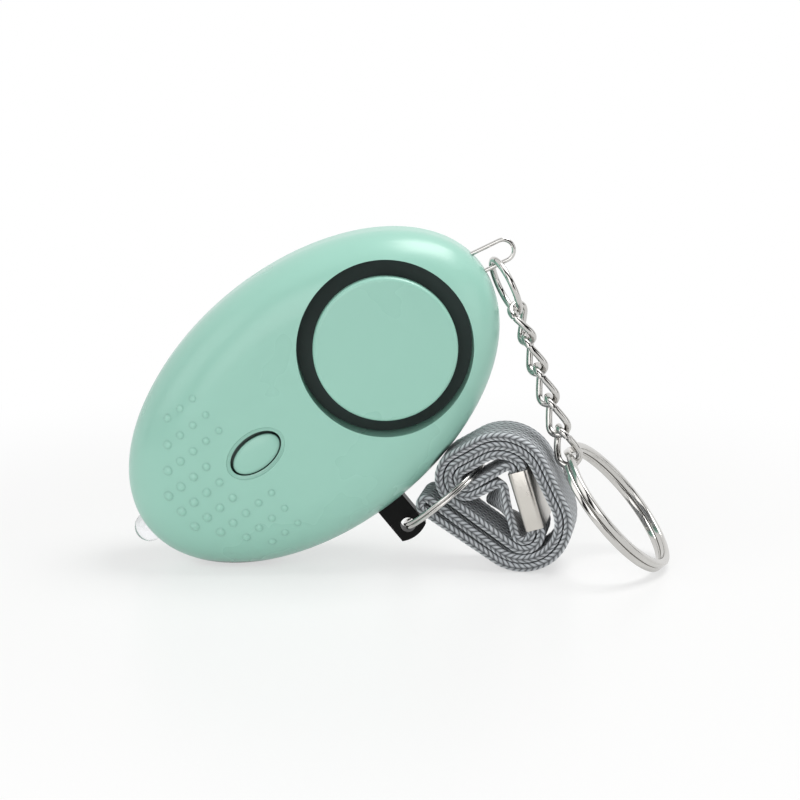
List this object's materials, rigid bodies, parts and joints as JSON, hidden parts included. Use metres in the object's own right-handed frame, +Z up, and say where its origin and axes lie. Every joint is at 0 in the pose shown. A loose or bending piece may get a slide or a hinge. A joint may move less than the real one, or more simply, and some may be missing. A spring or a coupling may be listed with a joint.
{
  "type": "personal safety alarm",
  "caption": "Pebble-shaped pull-pin safety alarm with round siren, light button, clear lamp, wound wrist strap, curb chain and split key ring.",
  "frame": {"origin": "under the middle of the whole part, on the surface it stands on", "axes": "+X to the right of the siren face, +Y away from the viewer of that face, +Z up"},
  "size_m": [0.0891, 0.0285, 0.0555],
  "materials": {
    "mint": "satin moulded",
    "dark": "moulded",
    "black": "satin moulded",
    "pale": "moulded",
    "steel": "drawn, bright",
    "chrome": "bright nickel plate",
    "brass": "stamped",
    "ceramic": "fired, matte",
    "board": "satin",
    "red_lead": "insulated",
    "black_lead": "insulated",
    "lamp": "clear, polished",
    "webbing": "woven herringbone"
  },
  "bodies": {
    "casing": {"front_shell": "mint", "back_shell": "mint", "battery_door": "mint", "door_screw": "steel", "case_screws": "steel", "siren_cover": "mint", "siren_housing": "dark", "piezo_plate": "brass", "piezo_ceramic": "ceramic", "siren_leads": "red_lead", "circuit_board": "board", "controller_chip": "dark", "step_up_coil": "dark", "transistor": "dark", "tactile_switch": "dark", "led": "lamp", "led_leads": "steel", "battery_tray": "dark", "battery_cells": "steel", "battery_links": "steel", "cell_contacts": "steel", "battery_leads": "black_lead", "pin_socket": "dark", "contact_blades": "brass", "wire_loop": "steel"},
    "light_button": {"light_button": "mint", "switch_plunger": "pale"},
    "pull_pin": {"pull_tab": "black", "pin_prongs": "brass"},
    "wrist_strap": {"pin_ring": "chrome", "wrist_strap": "webbing", "strap_crimp": "chrome"},
    "chain_ring": {"chain_ring": "chrome"},
    "chain_link_1": {"chain_link_1": "chrome"},
    "chain_link_2": {"chain_link_2": "chrome"},
    "chain_link_3": {"chain_link_3": "chrome"},
    "chain_link_4": {"chain_link_4": "chrome"},
    "chain_link_5": {"chain_link_5": "chrome"},
    "key_ring": {"key_ring": "chrome"}
  },
  "joints": [
    {"name": "button_press", "type": "slide", "parent": "casing", "child": "light_button", "axis": [0, 1, 0], "range_m": [0, 0.0008], "stiffness_N_per_m": 1500},
    {"name": "pin_pull", "type": "slide", "parent": "casing", "child": "pull_pin", "axis": [0.6293, 0, -0.7771], "range_m": [0, 0.0125]},
    {"name": "strap_swing", "type": "hinge", "parent": "pull_pin", "child": "wrist_strap", "pos_m": [0.00136, 0.00328, 0.00612], "axis": [0, 1, 0], "range_deg": [0, 25]},
    {"name": "ring_swing", "type": "hinge", "parent": "casing", "child": "chain_ring", "pos_m": [0.01559, 0.00328, 0.04933], "axis": [0, -1, 0], "range_deg": [0, 25]},
    {"name": "link_1_swing", "type": "hinge", "parent": "chain_ring", "child": "chain_link_1", "pos_m": [0.01924, 0.00204, 0.04186], "axis": [0, -1, 0], "range_deg": [0, 10]},
    {"name": "link_2_swing", "type": "hinge", "parent": "chain_link_1", "child": "chain_link_2", "pos_m": [0.02099, 0.00122, 0.03701], "axis": [0, -1, 0], "range_deg": [0, 10]},
    {"name": "link_3_swing", "type": "hinge", "parent": "chain_link_2", "child": "chain_link_3", "pos_m": [0.02277, 0.00039, 0.03209], "axis": [0, -1, 0], "range_deg": [0, 10]},
    {"name": "link_4_swing", "type": "hinge", "parent": "chain_link_3", "child": "chain_link_4", "pos_m": [0.02455, -0.00044, 0.02717], "axis": [0, -1, 0], "range_deg": [0, 10]},
    {"name": "link_5_swing", "type": "hinge", "parent": "chain_link_4", "child": "chain_link_5", "pos_m": [0.02633, -0.00126, 0.02224], "axis": [0, -1, 0], "range_deg": [0, 10]},
    {"name": "key_ring_swing", "type": "hinge", "parent": "chain_link_5", "child": "key_ring", "pos_m": [0.0275, -0.00181, 0.01902], "axis": [0, -1, 0], "range_deg": [0, 30]}
  ]
}
